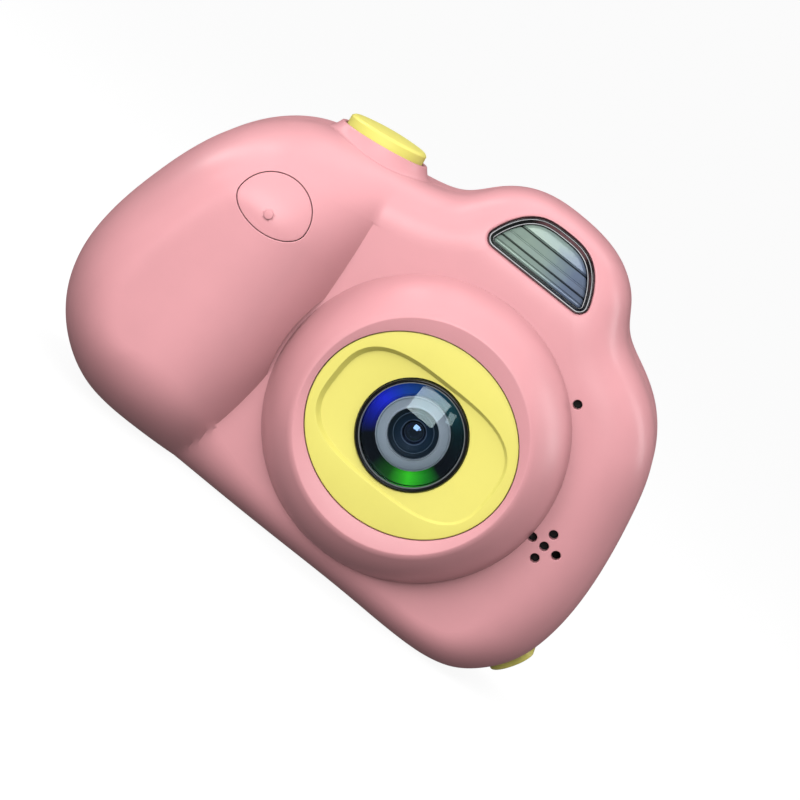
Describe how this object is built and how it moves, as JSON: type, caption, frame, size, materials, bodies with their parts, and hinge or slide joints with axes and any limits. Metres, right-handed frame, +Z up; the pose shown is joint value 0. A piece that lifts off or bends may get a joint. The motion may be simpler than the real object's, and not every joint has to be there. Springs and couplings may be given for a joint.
{
  "type": "kids digital camera",
  "caption": "Small toy digital camera with a round-edged two-shell body, hand grip, raised lens ring, flash hump, top shutter button, rear screen and press buttons.",
  "frame": {"origin": "on the flat underside, below the middle of the body's width, 1 mm ahead of the parting plane", "axes": "+Z up, lens looks along -Y, +X towards the side away from the grip"},
  "size_m": [0.0793, 0.0367, 0.0568],
  "materials": {
    "pink_shell": "satin moulded ABS, soft-touch pink",
    "yellow_plastic": "satin moulded ABS, pale yellow",
    "black_plastic": "satin black",
    "switch_plastic": "satin black",
    "lens_glass": "polished, coated",
    "iris_grey": "matt grey",
    "flash_chrome": "dark chrome plating",
    "flash_clear": "ribbed clear",
    "flash_silver": "bright metallised",
    "lamp_yellow": "phosphor yellow",
    "status_clear": "clear light pipe",
    "board_green": "solder mask green",
    "steel": "zinc plated",
    "microphone_can": "satin can",
    "lcd_metal": "satin frame",
    "screen_glass": "polished black window",
    "gasket_foam": "closed cell foam",
    "ribbon_film": "amber polyimide film",
    "cell_wrap": "silver pouch"
  },
  "bodies": {
    "camera_body": {"battery": "cell_wrap", "battery_lead": "black_plastic", "board_screw_1": "steel", "board_screw_2": "steel", "camera_ribbon": "ribbon_film", "card_socket": "steel", "cover_screw_1": "steel", "cover_screw_2": "steel", "cover_screw_3": "steel", "cover_screw_4": "steel", "down_switch": "switch_plastic", "flash_bezel": "flash_chrome", "flash_board": "board_green", "flash_lamp": "lamp_yellow", "flash_reflector": "flash_silver", "flash_window": "flash_clear", "front_cover": "pink_shell", "front_lens_element": "lens_glass", "image_sensor": "black_plastic", "inner_lens_element": "lens_glass", "inner_sleeve": "black_plastic", "iris_ring": "iris_grey", "lcd_panel": "lcd_metal", "left_switch": "switch_plastic", "lens_barrel": "black_plastic", "lens_bezel": "yellow_plastic", "lens_ring": "pink_shell", "lens_trim_ring": "black_plastic", "main_board": "board_green", "microphone": "microphone_can", "mode_switch": "switch_plastic", "ok_switch": "switch_plastic", "power_switch": "switch_plastic", "rear_cover": "pink_shell", "right_switch": "switch_plastic", "screen_gasket": "gasket_foam", "screen_ribbon": "ribbon_film", "screen_window": "screen_glass", "sensor_board": "board_green", "shutter_board": "board_green", "shutter_collar": "pink_shell", "shutter_switch": "switch_plastic", "speaker": "black_plastic", "status_light": "status_clear", "up_switch": "switch_plastic", "usb_board": "board_green", "usb_port": "steel"},
    "shutter_button": {"shutter_button": "yellow_plastic"},
    "up_button": {"up_button": "yellow_plastic"},
    "down_button": {"down_button": "yellow_plastic"},
    "left_button": {"left_button": "yellow_plastic"},
    "right_button": {"right_button": "yellow_plastic"},
    "ok_button": {"ok_button": "yellow_plastic"},
    "power_button": {"power_button": "yellow_plastic"},
    "mode_button": {"mode_button": "yellow_plastic"},
    "grip_flap": {"grip_flap": "pink_shell"},
    "card_cover": {"card_cover": "yellow_plastic"},
    "memory_card": {"memory_card": "black_plastic"}
  },
  "joints": [
    {"name": "shutter_press", "type": "slide", "parent": "camera_body", "child": "shutter_button", "axis": [0.1461, 0, -0.9893], "range_m": [0, 0.001], "stiffness_N_per_m": 600},
    {"name": "up_press", "type": "slide", "parent": "camera_body", "child": "up_button", "axis": [0, -1, 0], "range_m": [0, 0.0006], "stiffness_N_per_m": 600},
    {"name": "down_press", "type": "slide", "parent": "camera_body", "child": "down_button", "axis": [0, -1, 0], "range_m": [0, 0.0006], "stiffness_N_per_m": 600},
    {"name": "left_press", "type": "slide", "parent": "camera_body", "child": "left_button", "axis": [0, -1, 0], "range_m": [0, 0.0006], "stiffness_N_per_m": 600},
    {"name": "right_press", "type": "slide", "parent": "camera_body", "child": "right_button", "axis": [0, -1, 0], "range_m": [0, 0.0006], "stiffness_N_per_m": 600},
    {"name": "ok_press", "type": "slide", "parent": "camera_body", "child": "ok_button", "axis": [0, -1, 0], "range_m": [0, 0.0006], "stiffness_N_per_m": 600},
    {"name": "power_press", "type": "slide", "parent": "camera_body", "child": "power_button", "axis": [0, -1, 0], "range_m": [0, 0.0006], "stiffness_N_per_m": 600},
    {"name": "mode_press", "type": "slide", "parent": "camera_body", "child": "mode_button", "axis": [0, -1, 0], "range_m": [0, 0.0006], "stiffness_N_per_m": 600},
    {"name": "grip_flap_hinge", "type": "hinge", "parent": "camera_body", "child": "grip_flap", "pos_m": [-0.02245, -0.01814, 0.0389], "axis": [-1, 0, 0], "range_deg": [0, 100]},
    {"name": "card_cover_hinge", "type": "hinge", "parent": "camera_body", "child": "card_cover", "pos_m": [0.03939, 0.0035, 0.0082], "axis": [0, -1, 0], "range_deg": [0, 100]},
    {"name": "card_slide", "type": "slide", "parent": "camera_body", "child": "memory_card", "axis": [1, 0, 0], "range_m": [-0.0005, 0.0012]}
  ]
}
